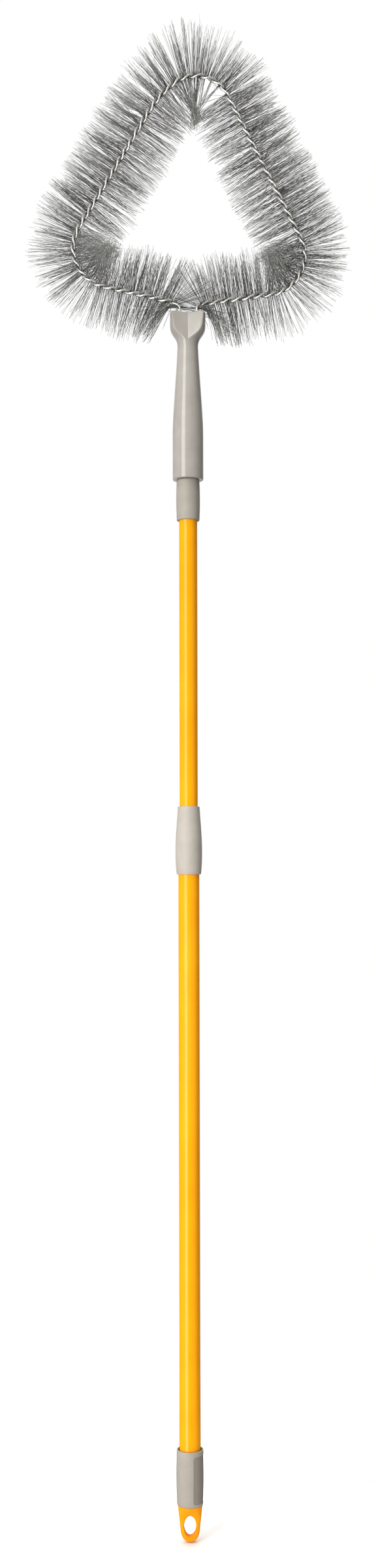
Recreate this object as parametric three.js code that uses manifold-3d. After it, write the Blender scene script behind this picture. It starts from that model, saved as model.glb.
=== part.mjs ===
// A telescopic cobweb brush: a twisted-wire brush bent into a rounded triangle, in a moulded
// socket that screws on a two-tube pole with a twist lock, an end grip and a hanging loop.
// Millimetres, +Z up the pole, the front towards -Y. The origin is on the pole axis in the
// middle of the end grip, where a hand holds the pole.
import * as THREE from "three";
import { mergeVertices } from "three/addons/utils/BufferGeometryUtils.js";
import Module from "manifold-3d";

const wasm = await Module();
wasm.setup();

// Fits
const seatGap = 0.3; // between pieces that seat on each other
const runningGap = 0.3; // between pieces that slide or turn past each other
const roundSides = 28; // facets of a turned piece
const smallSides = 16; // facets of a bore, a pin or a screw
const profileSteps = 6; // straight pieces in each curve of a turned profile
const ovalSteps = 8; // straight pieces in each curve of the hanging loop
const panelSteps = 5; // straight pieces across the grip's panel

// Hanging loop
const loopHeight = 38.8;
const loopShoulderRadius = 12.9;
const loopHalfWidth = 10.2;
const loopRoundHeight = 14.6; // height of the rounded end
const loopThickness = 11;
const loopFlatHeight = 26; // where the flat tab starts to swell to the round shoulder
const hangHoleHalfWidth = 6.5;
const hangHoleHalfHeight = 10.8;
const hangHoleHeight = 17.2;
const cupWall = 0.8;
const cupFloor = 4;
const cupHeight = 48.5;

// End grip
const gripLength = 57.3;
const gripFootWall = 1.1;
const gripBellyWall = 1.9;
const gripMouthWall = 1.3;
const gripEdge = 0.6;
const panelHeight = 48.9;
const panelFoot = 3.1; // above the foot of the grip
const panelDepth = 0.35; // below the foot of the grip's outside
const panelTurn = THREE.MathUtils.degToRad(-26);
const panelHalfSpan = THREE.MathUtils.degToRad(48);

// Tubes
const lowerTubeRadius = 11;
const lowerTubeLength = 703.3;
const tubeWall = 0.5;
const telescopeGap = 1; // between the two tubes, all round
const shownUpperTube = 296.6; // between the clutch sleeve and the collar
const extensionLeft = 235; // travel that the pole still has at the length shown

// Clutch sleeve on the mouth of the lower tube
const clutchSeat = 54;
const clutchLip = 16.4;
const clutchFootWall = 1.3;
const clutchBellyWall = 2.5;
const clutchBellyHeight = 25;
const clutchMouthWall = 1.5;
const clutchEdge = 0.6;

// Twist lock in the foot of the upper tube
const plugLength = 35;
const flangeThickness = 3;
const journalRadius = 6;
const camThrow = 0.8;
const lockTurn = THREE.MathUtils.degToRad(40);
const camClearance = 0.25; // left between journal and ring when the lock is turned home
const lockRingHeight = 16;
const washerRadius = 8.8;
const washerThickness = 1.6;
const screwRadius = 2;
const screwLength = 14; // of the thread in the journal
const screwHeadRadius = 3.8;
const screwHeadHeight = 2.4;
const screwSlotWidth = 1;
const screwSlotDepth = 1.2;

// Collar and threaded stud on the upper tube
const collarLength = 41.7;
const collarWall = 2;
const collarBellyWall = 2.5;
const collarSeat = 30;
const collarEdge = 0.6;
const spigotLength = 22;
const studCoreRadius = 9.3;
const studLength = 40;
const threadRadius = 1.1;
const threadPitch = 4.6;
const threadTurns = 7;
const threadSteps = 8; // per turn
const threadSides = 4;

// Brush socket
const socketLength = 173.4;
const socketFootWall = 5.3;
const socketFootEdge = 1.2;
const socketBoreDepth = 46;
const socketStraight = 48;
const socketNeckRadius = 10.7;
const socketNeckHeight = 138;
const taperHold = 1 / 5; // share of the taper's height over which the foot's width holds
const taperEase = 1 / 3; // share of it over which the taper eases into the neck
const taperSwell = 1 / 4; // how much of the foot's extra width is left where it starts to ease
const socketNeckWall = 3.2;
const socketCavityHeight = 131;
const flareHeight = 160;
const flareWall = 5.75; // outside the wire pockets
const pocketDepth = 20.5;
const pocketClearance = 0.4;
const scoopRadius = 55;
const scoopHalfThickness = 5.5; // of the flare, in its middle at the top
const scoopTilt = THREE.MathUtils.degToRad(11);
const scoopReach = 60; // length of the scooping cylinder above and below the top

// Wire frame of the brush: a rounded triangle, measured from the middle of the socket's top
const wireDiameter = 2.2;
const twistPitch = 23.4;
const wireSteps = 7; // per turn of the twist
const wireSides = 5;
const legLength = 20; // in the socket
const legHalfSpacing = 9.5;
const legBendRadius = 9;
const leftBarRise = 10.4; // where the left bar meets its leg
const rightBarRise = 8.9;
const leftCornerReach = 142.5;
const leftCornerRise = 40.4;
const rightCornerReach = 143.5;
const rightCornerRise = 27.1;
const cornerBendRadius = 41;
const shoulderReach = 32; // where the left arm starts to curve over
const shoulderRise = 222.5;
const shoulderBendRadius = 100;
const apexShift = 19.7;
const apexRise = 269;
const apexBendRadius = 37;

// Bristles
const strandLength = 47;
const strandWidth = 0.8;
const strandTipWidth = 0.5;
const strandsPerTurn = 6; // places along a turn, each with a strand to either side
const rootThickness = 0.34;
const rootHalfWidth = 1;
const strandGap = 1; // least distance between the middle lines of two strands
const strandChecks = 24; // points along a strand where that distance is measured
const strandShortening = 0.08; // share of its length that a crossing strand loses at a time
const strandTries = 8;
const armLean = 0.245; // strands of the side arms lie nearer to level than square to the wire
const combSlope = 0.75; // strands beside the socket are combed away from it
const combReach = 34;
const lengthWave = 0.05; // share by which strands differ in length

// Sizes that follow from these
const cupRadius = lowerTubeRadius + seatGap + cupWall;
const gripFoot = loopHeight + seatGap;
const gripBore = cupRadius + seatGap;
const handHeight = gripFoot + gripLength / 2;
const lowerTubeFoot = loopHeight + cupFloor + seatGap;
const lowerTubeTop = lowerTubeFoot + lowerTubeLength;
const lowerTubeBore = lowerTubeRadius - tubeWall;
const upperTubeRadius = lowerTubeBore - telescopeGap;
const upperTubeBore = upperTubeRadius - tubeWall;
const clutchFoot = lowerTubeTop - clutchSeat;
const clutchTop = lowerTubeTop + clutchLip;
const collarFoot = clutchTop + shownUpperTube;
const collarTop = collarFoot + collarLength;
const upperTubeFoot = lowerTubeTop - extensionLeft - seatGap;
const upperTubeTop = collarFoot + collarSeat - seatGap;
const flangeTop = upperTubeFoot - seatGap;
const flangeFoot = flangeTop - flangeThickness;
const lockRingTop = flangeFoot - runningGap;
const lockRingFoot = lockRingTop - lockRingHeight;
const washerTop = lockRingFoot - runningGap;
const journalFoot = washerTop + seatGap;
const washerFoot = washerTop - washerThickness;
const studCrestRadius = studCoreRadius + threadRadius;
const studTop = collarTop + studLength;
const socketFoot = collarTop + seatGap;
const socketTop = socketFoot + socketLength;
const socketBore = studCrestRadius + runningGap;
const socketFootRadius = socketBore + socketFootWall;
const wireRadius = wireDiameter / 2;
const wireOffset = (wireRadius + rootThickness / 2 + seatGap) / Math.cos(Math.PI / wireSteps);
const pocketRadius = wireOffset + wireRadius + pocketClearance;
const flareRadius = legHalfSpacing + pocketRadius + flareWall;

// Finishes
const finish = (color, roughness, metalness = 0) =>
  new THREE.MeshStandardMaterial({ color, roughness, metalness });
const yellowPaint = finish("#f5b316", 0.3, 0.1);
const yellowPlastic = finish("#f4ab11", 0.45);
const mattTaupe = finish("#b9b1a6", 0.7);
const glossTaupe = finish("#b4ada4", 0.25);
const whitePlastic = finish("#d8d6d0", 0.55);
const brightSteel = finish("#b4b0a8", 0.3, 1);
const greyFilament = finish("#6e6d69", 0.6);

const brush = new THREE.Group();
brush.position.z = -handHeight;

function addPiece(name, geometry, material) {
  const mesh = new THREE.Mesh(geometry, material);
  mesh.name = name;
  brush.add(mesh);
}

// Closed solids, and the geometry that a cut or a join of them gives
function solidOf(geometry) {
  const bare = geometry.clone();
  bare.deleteAttribute("normal");
  bare.deleteAttribute("uv");
  const merged = mergeVertices(bare);
  const mesh = new wasm.Mesh({
    numProp: 3,
    vertProperties: new Float32Array(merged.attributes.position.array),
    triVerts: new Uint32Array(merged.index.array),
  });
  return new wasm.Manifold(mesh);
}

function geometryOf(solid) {
  const mesh = solid.getMesh();
  const geometry = new THREE.BufferGeometry();
  geometry.setAttribute("position", new THREE.BufferAttribute(mesh.vertProperties, 3));
  geometry.setIndex(new THREE.BufferAttribute(mesh.triVerts, 1));
  return geometry;
}

// A piece turned about the pole axis, from a profile of radius and height
function turned(profile, sides = roundSides) {
  return new THREE.LatheGeometry(profile, sides).rotateX(Math.PI / 2);
}

const at = (radius, height) => new THREE.Vector2(radius, height);

function ring(inner, outer, foot, top, sides = roundSides) {
  return turned([at(inner, foot), at(outer, foot), at(outer, top), at(inner, top), at(inner, foot)], sides);
}

function rod(radius, foot, top, sides = roundSides) {
  return turned([at(0, foot), at(radius, foot), at(radius, top), at(0, top)], sides);
}

// An outline in X and Z, extruded evenly to both sides of Y = 0
function frontOutline(shape, depth) {
  const geometry = new THREE.ExtrudeGeometry(shape, {
    depth,
    bevelEnabled: false,
    curveSegments: ovalSteps,
  });
  return geometry.rotateX(Math.PI / 2).translate(0, depth / 2, 0);
}

function polygon(sides, radius) {
  const corners = Array.from({ length: sides }, (_, i) => {
    const turn = (2 * Math.PI * i) / sides;
    return at(radius * Math.cos(turn), radius * Math.sin(turn));
  });
  return new THREE.Shape(corners);
}

// Hanging loop: a flat tab with an oval hole that swells to a round shoulder and a cup for the tube
function hangLoop() {
  const front = new THREE.Shape();
  front.moveTo(loopShoulderRadius, loopHeight);
  front.lineTo(-loopShoulderRadius, loopHeight);
  front.lineTo(-loopHalfWidth, loopRoundHeight);
  front.absellipse(0, loopRoundHeight, loopHalfWidth, loopRoundHeight, Math.PI, 2 * Math.PI);
  const hole = new THREE.Path();
  hole.absellipse(0, hangHoleHeight, hangHoleHalfWidth, hangHoleHalfHeight, 0, 2 * Math.PI, true);
  front.holes.push(hole);
  const halfThickness = loopThickness / 2;
  const side = new THREE.Shape();
  side.moveTo(halfThickness, 0);
  side.lineTo(halfThickness, loopFlatHeight);
  side.quadraticCurveTo(halfThickness, loopHeight, loopShoulderRadius, loopHeight);
  side.lineTo(-loopShoulderRadius, loopHeight);
  side.quadraticCurveTo(-halfThickness, loopHeight, -halfThickness, loopFlatHeight);
  side.lineTo(-halfThickness, 0);
  const width = 2 * loopShoulderRadius;
  const tab = solidOf(frontOutline(front, width));
  const swell = solidOf(frontOutline(side, width).rotateZ(Math.PI / 2));
  const round = solidOf(rod(loopShoulderRadius, 0, loopHeight));
  const cup = turned([
    at(0, loopHeight - cupFloor),
    at(cupRadius, loopHeight - cupFloor),
    at(cupRadius, loopHeight + cupHeight),
    at(cupRadius - cupWall, loopHeight + cupHeight),
    at(cupRadius - cupWall, loopHeight + cupFloor),
    at(0, loopHeight + cupFloor),
  ]);
  return geometryOf(tab.intersect(swell).intersect(round).add(solidOf(cup)));
}

// End grip: a barrel sleeve over the cup, with a bare sunk panel on its right
function endGrip() {
  const gripTop = gripFoot + gripLength;
  const barrel = new THREE.SplineCurve([
    at(gripBore + gripFootWall, gripFoot + gripEdge),
    at(gripBore + gripBellyWall, handHeight),
    at(gripBore + gripMouthWall, gripTop - gripEdge),
  ]);
  const sleeve = turned([
    at(gripBore, gripFoot),
    at(gripBore + gripFootWall - gripEdge, gripFoot),
    ...barrel.getPoints(profileSteps),
    at(gripBore + gripMouthWall - gripEdge, gripTop),
    at(gripBore, gripTop),
    at(gripBore, gripFoot),
  ]);
  const floorRadius = gripBore + gripFootWall - panelDepth;
  const clearRadius = gripBore + 2 * gripBellyWall;
  const sunk = new THREE.Shape();
  sunk.absarc(0, 0, clearRadius, panelTurn - panelHalfSpan, panelTurn + panelHalfSpan, false);
  sunk.absarc(0, 0, floorRadius, panelTurn + panelHalfSpan, panelTurn - panelHalfSpan, true);
  const cutter = new THREE.ExtrudeGeometry(sunk, {
    depth: panelHeight,
    bevelEnabled: false,
    curveSegments: panelSteps,
  });
  cutter.translate(0, 0, gripFoot + panelFoot);
  return geometryOf(solidOf(sleeve).subtract(solidOf(cutter)));
}

// Clutch sleeve: seats on the lower tube's mouth, and its lip guides the upper tube
function clutchSleeve() {
  const seatBore = lowerTubeRadius + seatGap;
  const lipBore = upperTubeRadius + runningGap;
  const lipFoot = lowerTubeTop + seatGap;
  const belly = at(seatBore + clutchBellyWall, clutchFoot + clutchBellyHeight);
  const mouth = at(lipBore + clutchMouthWall, clutchTop - clutchEdge);
  const rise = (mouth.y - belly.y) / 3;
  const swell = new THREE.QuadraticBezierCurve(
    at(seatBore + clutchFootWall, clutchFoot + clutchEdge),
    at(belly.x, clutchFoot + clutchBellyHeight / 3),
    belly,
  );
  const taper = new THREE.CubicBezierCurve(
    belly,
    at(belly.x, belly.y + rise),
    at((belly.x + 2 * mouth.x) / 3, mouth.y - rise),
    mouth,
  );
  return turned([
    at(seatBore, clutchFoot),
    at(seatBore + clutchFootWall - clutchEdge, clutchFoot),
    ...swell.getPoints(profileSteps),
    ...taper.getPoints(profileSteps).slice(1),
    at(mouth.x - clutchEdge, clutchTop),
    at(lipBore, clutchTop),
    at(lipBore, lipFoot),
    at(seatBore, lipFoot),
    at(seatBore, clutchFoot),
  ]);
}

// Twist lock: a plug in the upper tube carries a flange and an eccentric journal
function lockSpindle() {
  const plugRadius = upperTubeBore - seatGap;
  const flangeRadius = lowerTubeBore - runningGap;
  const plug = turned([
    at(0, flangeFoot),
    at(flangeRadius, flangeFoot),
    at(flangeRadius, flangeTop),
    at(plugRadius, flangeTop),
    at(plugRadius, flangeTop + plugLength),
    at(0, flangeTop + plugLength),
  ]);
  const journal = rod(journalRadius, journalFoot, flangeFoot + flangeThickness / 2).translate(camThrow, 0, 0);
  const pilotTop = journalFoot + screwLength + seatGap;
  const pilot = rod(screwRadius + seatGap, washerFoot, pilotTop, smallSides).translate(camThrow, 0, 0);
  return geometryOf(solidOf(plug).add(solidOf(journal)).subtract(solidOf(pilot)));
}

// The ring's bore is as far off centre as the journal, and meets it when the lock is turned free
function lockRing() {
  const boreRadius = journalRadius + 2 * camThrow * Math.sin(lockTurn / 2) + camClearance;
  const offset = at(camThrow, 0).rotateAround(at(0, 0), lockTurn);
  const outside = rod(lowerTubeBore - runningGap, lockRingFoot, lockRingTop);
  const bore = rod(boreRadius, lockRingFoot - seatGap, lockRingTop + seatGap);
  bore.translate(offset.x, offset.y, 0);
  return geometryOf(solidOf(outside).subtract(solidOf(bore)));
}

function lockWasher() {
  const washer = ring(screwRadius + seatGap, washerRadius, washerFoot, washerTop);
  return washer.translate(camThrow, 0, 0);
}

function lockScrew() {
  const headTop = washerFoot - seatGap;
  const headFoot = headTop - screwHeadHeight;
  const blank = turned(
    [
      at(0, headFoot),
      at(screwHeadRadius - screwHeadHeight / 2, headFoot),
      at(screwHeadRadius, headTop - screwHeadHeight / 2),
      at(screwHeadRadius, headTop),
      at(screwRadius, headTop),
      at(screwRadius, journalFoot + screwLength),
      at(0, journalFoot + screwLength),
    ],
    smallSides,
  );
  const slot = new THREE.BoxGeometry(3 * screwHeadRadius, screwSlotWidth, 2 * screwSlotDepth);
  slot.translate(0, 0, headFoot);
  return geometryOf(solidOf(blank).subtract(solidOf(slot))).translate(camThrow, 0, 0);
}

// Collar that caps the upper tube, with the threaded stud for the brush socket
class Helix extends THREE.Curve {
  constructor(radius, pitch, turns, foot) {
    super();
    this.radius = radius;
    this.pitch = pitch;
    this.turns = turns;
    this.foot = foot;
  }
  getPoint(t, target = new THREE.Vector3()) {
    const turn = 2 * Math.PI * this.turns * t;
    const rise = this.foot + this.pitch * this.turns * t;
    return target.set(this.radius * Math.cos(turn), this.radius * Math.sin(turn), rise);
  }
}

function threadedTip() {
  const bore = upperTubeRadius + seatGap;
  const spigotRadius = upperTubeBore - seatGap;
  const seatTop = upperTubeTop + seatGap;
  const edgeRadius = bore + collarWall;
  const belly = new THREE.QuadraticBezierCurve(
    at(edgeRadius, collarFoot + collarEdge),
    at(bore + 2 * collarBellyWall - collarWall, (collarFoot + collarTop) / 2),
    at(edgeRadius, collarTop - collarEdge),
  );
  const collar = turned([
    at(0, seatTop - spigotLength),
    at(spigotRadius, seatTop - spigotLength),
    at(spigotRadius, seatTop),
    at(bore, seatTop),
    at(bore, collarFoot),
    at(edgeRadius - collarEdge, collarFoot),
    ...belly.getPoints(profileSteps),
    at(edgeRadius - collarEdge, collarTop),
    at(studCoreRadius, collarTop),
    at(studCoreRadius, studTop - threadRadius),
    at(studCoreRadius - threadRadius, studTop),
    at(0, studTop),
  ]);
  const threadFoot = collarTop + (studLength - threadPitch * threadTurns) / 2;
  const thread = new THREE.ExtrudeGeometry(polygon(threadSides, threadRadius), {
    steps: threadTurns * threadSteps,
    extrudePath: new Helix(studCoreRadius, threadPitch, threadTurns, threadFoot),
    bevelEnabled: false,
  });
  return geometryOf(solidOf(collar).add(solidOf(thread)));
}

// Brush socket: a hollow tapered moulding with a flared top that holds the two wire legs
function brushSocket() {
  const neck = at(socketNeckRadius, socketFoot + socketNeckHeight);
  const straightTop = at(socketFootRadius, socketFoot + socketStraight);
  const taperRise = neck.y - straightTop.y;
  const taper = new THREE.CubicBezierCurve(
    straightTop,
    at(socketFootRadius, straightTop.y + taperRise * taperHold),
    at(THREE.MathUtils.lerp(neck.x, socketFootRadius, taperSwell), neck.y - taperRise * taperEase),
    neck,
  );
  const flareTop = at(flareRadius, socketFoot + flareHeight);
  const flareRise = (flareTop.y - neck.y) / 2;
  const flare = new THREE.CubicBezierCurve(
    neck,
    at(neck.x, neck.y + flareRise),
    at(flareTop.x, flareTop.y - flareRise),
    flareTop,
  );
  const cavityTop = socketFoot + socketCavityHeight;
  const body = turned([
    at(0, cavityTop),
    at(socketNeckRadius - socketNeckWall, cavityTop),
    at(socketBore, socketFoot + socketBoreDepth),
    at(socketBore, socketFoot),
    at(socketFootRadius - socketFootEdge, socketFoot),
    at(socketFootRadius, socketFoot + socketFootEdge),
    ...taper.getPoints(profileSteps),
    ...flare.getPoints(profileSteps).slice(1),
    at(flareRadius, socketTop),
    at(0, socketTop),
  ]);
  let solid = solidOf(body);
  for (const side of [-1, 1]) {
    const pocket = rod(pocketRadius, socketTop - pocketDepth, socketTop + pocketRadius, smallSides);
    solid = solid.subtract(solidOf(pocket.translate(side * legHalfSpacing, 0, 0)));
    const scoop = rod(scoopRadius, -scoopReach, scoopReach, 2 * roundSides);
    scoop.translate(0, side * (scoopRadius + scoopHalfThickness), 0);
    scoop.rotateX(side * scoopTilt);
    scoop.translate(0, 0, socketTop);
    solid = solid.subtract(solidOf(scoop));
  }
  return geometryOf(solid);
}

// The wire frame's middle line, in X and Z: straight runs joined by arcs
function roundedRun(corners) {
  const run = new THREE.Path();
  run.moveTo(corners[0].point.x, corners[0].point.y);
  for (let i = 1; i < corners.length - 1; i++) {
    const { point, bend } = corners[i];
    const back = corners[i - 1].point.clone().sub(point).normalize();
    const on = corners[i + 1].point.clone().sub(point).normalize();
    const half = Math.acos(back.dot(on)) / 2;
    const centre = point.clone().addScaledVector(back.clone().add(on).normalize(), bend / Math.sin(half));
    const start = point.clone().addScaledVector(back, bend / Math.tan(half)).sub(centre);
    const end = point.clone().addScaledVector(on, bend / Math.tan(half)).sub(centre);
    run.lineTo(centre.x + start.x, centre.y + start.y);
    run.absarc(centre.x, centre.y, bend, start.angle(), end.angle(), start.cross(end) < 0);
  }
  const last = corners[corners.length - 1].point;
  run.lineTo(last.x, last.y);
  return run;
}

const wireRun = roundedRun([
  { point: at(-legHalfSpacing, socketTop - legLength) },
  { point: at(-legHalfSpacing, socketTop + leftBarRise), bend: legBendRadius },
  { point: at(-leftCornerReach, socketTop + leftCornerRise), bend: cornerBendRadius },
  { point: at(-shoulderReach, socketTop + shoulderRise), bend: shoulderBendRadius },
  { point: at(apexShift, socketTop + apexRise), bend: apexBendRadius },
  { point: at(rightCornerReach, socketTop + rightCornerRise), bend: cornerBendRadius },
  { point: at(legHalfSpacing, socketTop + rightBarRise), bend: legBendRadius },
  { point: at(legHalfSpacing, socketTop - legLength) },
]);
const runLength = wireRun.getLength();
const towardsFront = new THREE.Vector3(0, -1, 0);

// Place and directions at a distance along the run: the wires lie to either side along
// "pair", a left-handed twist about the middle line, and the strands leave along "strand"
function twistAt(distance) {
  const share = distance / runLength;
  const middle = wireRun.getPoint(share);
  const heading = wireRun.getTangent(share);
  const along = new THREE.Vector3(heading.x, 0, heading.y);
  const outward = new THREE.Vector3(-heading.y, 0, heading.x);
  const turn = (-2 * Math.PI * distance) / twistPitch;
  const cos = Math.cos(turn);
  const sin = Math.sin(turn);
  const pair = outward.clone().multiplyScalar(cos).addScaledVector(towardsFront, sin);
  const strand = towardsFront.clone().multiplyScalar(cos).addScaledVector(outward, -sin);
  return { point: new THREE.Vector3(middle.x, 0, middle.y), along, outward, pair, strand };
}

class TwistedWire extends THREE.Curve {
  constructor(side) {
    super();
    this.side = side;
  }
  getPoint(t) {
    const { point, pair } = twistAt(t * runLength);
    return point.addScaledVector(pair, this.side * wireOffset);
  }
  // The twist is even, so equal shares of the run are equal steps along the wire
  getPointAt(t) {
    return this.getPoint(t);
  }
}

function coreWire(side) {
  const steps = Math.round((wireSteps * runLength) / twistPitch);
  const wire = new TwistedWire(side);
  const points = wire.getSpacedPoints(steps);
  let least = Infinity;
  for (let i = 0; i < points.length; i++) {
    for (let j = i + wireSteps; j < points.length; j++) {
      least = Math.min(least, points[i].distanceTo(points[j]) - wireDiameter);
    }
  }
  console.log("least gap of the wire to itself: " + least.toFixed(2) + " mm");
  return new THREE.ExtrudeGeometry(polygon(wireSides, wireRadius), {
    steps,
    extrudePath: wire,
    bevelEnabled: false,
  });
}

// Direction of a strand: square to the wire, leaning towards level on the arms
// and combed away from the socket beside it
function strandHeading({ point, along, outward, strand }, side) {
  const heading = strand.clone().multiplyScalar(side);
  const reach = heading.dot(outward);
  heading.addScaledVector(along, -armLean * along.z * reach);
  const nearSocket = Math.max(0, 1 - (Math.abs(point.x) - legHalfSpacing) / combReach);
  const away = Math.sign(point.x * along.x);
  if (point.z < socketTop + leftCornerRise) {
    heading.addScaledVector(along, away * combSlope * nearSocket * Math.max(0, reach));
  }
  return heading.normalize();
}

// Strands in the order in which they are set: one that would cross another is cut shorter
const strandLines = [];
let leastStrandGap = Infinity;

function gapToOthers(line) {
  let least = Infinity;
  const probe = new THREE.Vector3();
  const nearest = new THREE.Vector3();
  for (const other of strandLines) {
    for (let i = 0; i <= strandChecks; i++) {
      line.at(i / strandChecks, probe);
      other.closestPointToPoint(probe, true, nearest);
      least = Math.min(least, probe.distanceTo(nearest));
    }
  }
  return least;
}

function setStrand(place, side, distance) {
  const heading = strandHeading(place, side);
  const root = place.point.clone().addScaledVector(place.strand, side * rootHalfWidth);
  const full = strandLength * (1 + lengthWave * Math.sin(distance * distance));
  for (let attempt = 0; attempt < strandTries; attempt++) {
    const length = full * (1 - attempt * strandShortening);
    const line = new THREE.Line3(root, root.clone().addScaledVector(heading, length));
    const gap = gapToOthers(line);
    if (gap >= strandGap) {
      leastStrandGap = Math.min(leastStrandGap, gap);
      strandLines.push(line);
      return line.end;
    }
  }
  return null;
}

// A run of bristles: strands fused to the thin twisted root that the two wires clamp
function bristles(from, to) {
  const positions = [];
  const faces = [];
  const corner = (place, across, through) => {
    const point = place.point.clone().addScaledVector(place.strand, across * rootHalfWidth);
    return point.addScaledVector(place.pair, (through * rootThickness) / 2);
  };
  const addPoint = (point) => positions.push(point.x, point.y, point.z) / 3 - 1;
  const addRing = (place) =>
    [corner(place, 1, -1), corner(place, 1, 1), corner(place, -1, 1), corner(place, -1, -1)].map(addPoint);
  const addQuad = (a, b, c, d) => faces.push(a, b, c, a, c, d);
  // Opposite faces of the thin twisted root fold along the same diagonal, so they stay apart
  const joinSide = (start, end, side) => {
    const next = (side + 1) % 4;
    if (side < 2) {
      addQuad(start[side], end[side], end[next], start[next]);
    } else {
      addQuad(end[side], end[next], start[next], start[side]);
    }
  };
  const addStrand = (start, end, side, place, tip) => {
    const next = (side + 1) % 4;
    const near = addPoint(tip.clone().addScaledVector(place.along, -strandTipWidth / 2));
    const far = addPoint(tip.clone().addScaledVector(place.along, strandTipWidth / 2));
    addQuad(start[side], end[side], far, near);
    faces.push(end[side], end[next], far);
    addQuad(start[next], near, far, end[next]);
    faces.push(start[next], start[side], near);
  };
  const spacing = twistPitch / strandsPerTurn;
  let first = null;
  let last = null;
  for (let distance = from + spacing / 2; distance < to; distance += spacing) {
    const place = twistAt(distance);
    const start = addRing(twistAt(distance - strandWidth / 2));
    const end = addRing(twistAt(distance + strandWidth / 2));
    if (last) {
      [0, 1, 2, 3].forEach((side) => joinSide(last, start, side));
    }
    [1, 3].forEach((side) => joinSide(start, end, side));
    for (const [side, way] of [[0, 1], [2, -1]]) {
      const tip = setStrand(place, way, distance);
      if (tip) {
        addStrand(start, end, side, place, tip);
      } else {
        joinSide(start, end, side);
      }
    }
    first ??= start;
    last = end;
  }
  addQuad(...first);
  addQuad(...last.toReversed());
  const geometry = new THREE.BufferGeometry();
  geometry.setAttribute("position", new THREE.Float32BufferAttribute(positions, 3));
  geometry.setIndex(faces);
  return geometry;
}

addPiece("hang_loop", hangLoop(), yellowPlastic);
addPiece("end_grip", endGrip(), mattTaupe);
addPiece("lower_tube", ring(lowerTubeBore, lowerTubeRadius, lowerTubeFoot, lowerTubeTop), yellowPaint);
addPiece("clutch_sleeve", clutchSleeve(), mattTaupe);
addPiece("upper_tube", ring(upperTubeBore, upperTubeRadius, upperTubeFoot, upperTubeTop), yellowPaint);
addPiece("lock_spindle", lockSpindle(), whitePlastic);
addPiece("lock_ring", lockRing(), whitePlastic);
addPiece("lock_washer", lockWasher(), brightSteel);
addPiece("lock_screw", lockScrew(), brightSteel);
addPiece("threaded_tip", threadedTip(), mattTaupe);
addPiece("brush_socket", brushSocket(), glossTaupe);
addPiece("core_wire_a", coreWire(1), brightSteel);
addPiece("core_wire_b", coreWire(-1), brightSteel);

// The bristles start past the bends into the socket and are parted in the middle of each corner
const bareEnd = legLength + leftBarRise + legBendRadius;
const bendMiddles = wireRun.curves.flatMap((curve, i) => {
  const lengths = wireRun.getCurveLengths();
  return curve.isEllipseCurve ? [(lengths[i - 1] + lengths[i]) / 2] : [];
});
const [, leftCorner, , apex, rightCorner] = bendMiddles;
addPiece("bristles_lower_left", bristles(bareEnd, leftCorner), greyFilament);
addPiece("bristles_left", bristles(leftCorner, apex), greyFilament);
addPiece("bristles_right", bristles(apex, rightCorner), greyFilament);
addPiece("bristles_lower_right", bristles(rightCorner, runLength - bareEnd), greyFilament);
console.log(strandLines.length + " strands, least gap between them: " + leastStrandGap.toFixed(2) + " mm");

export default brush;
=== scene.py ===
import math

import bmesh
import bpy
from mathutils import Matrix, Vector


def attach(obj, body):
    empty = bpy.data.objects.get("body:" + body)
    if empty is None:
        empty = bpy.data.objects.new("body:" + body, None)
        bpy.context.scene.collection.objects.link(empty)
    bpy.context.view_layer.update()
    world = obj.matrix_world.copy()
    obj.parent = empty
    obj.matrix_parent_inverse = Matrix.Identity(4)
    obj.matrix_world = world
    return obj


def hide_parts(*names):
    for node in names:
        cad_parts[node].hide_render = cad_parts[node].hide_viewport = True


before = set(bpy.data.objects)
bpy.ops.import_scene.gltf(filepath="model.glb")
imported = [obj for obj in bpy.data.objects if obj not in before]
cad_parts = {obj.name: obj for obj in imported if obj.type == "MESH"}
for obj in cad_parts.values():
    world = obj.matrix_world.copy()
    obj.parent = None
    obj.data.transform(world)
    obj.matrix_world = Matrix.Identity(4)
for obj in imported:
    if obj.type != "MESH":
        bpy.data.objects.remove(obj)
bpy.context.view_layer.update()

# Sizes are in millimetres, heights above the foot of the hanging loop, as in the part's source
MM = 0.001
HAND_HEIGHT = 67.75  # where the frame has its origin
SEAT_GAP = 0.3

LOOP_HEIGHT = 38.8
LOOP_SHOULDER_RADIUS = 12.9
LOOP_HALF_WIDTH = 10.2
LOOP_ROUND_HEIGHT = 14.6  # of the rounded foot
LOOP_HALF_THICKNESS = 5.0
LOOP_FLAT_HEIGHT = 23.4  # where the flat tab starts to swell to the round shoulder
LOOP_SWELL = 1.05  # the thickness overshoots a little and is held to the width
LOOP_SWELL_EASE = 2.0  # the section is round this far below the shoulder
LOOP_SQUARENESS = 3.6  # power of the tab's oval section
ROUND_SQUARENESS = 2.0  # power of an ellipse
LOOP_FOOT_SHARE = 0.45  # of the rows, for the rounded foot
LOOP_FOOT_FULLNESS = 0.45  # the foot gets thick sooner than wide
LOOP_FIRST_ROW = 0.02  # share at which the foot is closed
LOOP_ROWS = 70
HOLE_HALF_WIDTH = 6.3
HOLE_HALF_HEIGHT = 10.8
HOLE_HEIGHT = 17.2
HOLE_ROUNDING = 1.6
HOLE_FLARE = 0.3
HOLE_LIP_ROWS = 8
HOLE_SIDES = 64
CUT_MARGIN = 1.0  # by which a cutting shape stands out
CUP_RADIUS = 12.1
CUP_WALL = 0.8
CUP_TOP = 87.3
CUP_FLOOR = 42.8
CUP_SIDES = 72

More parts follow.
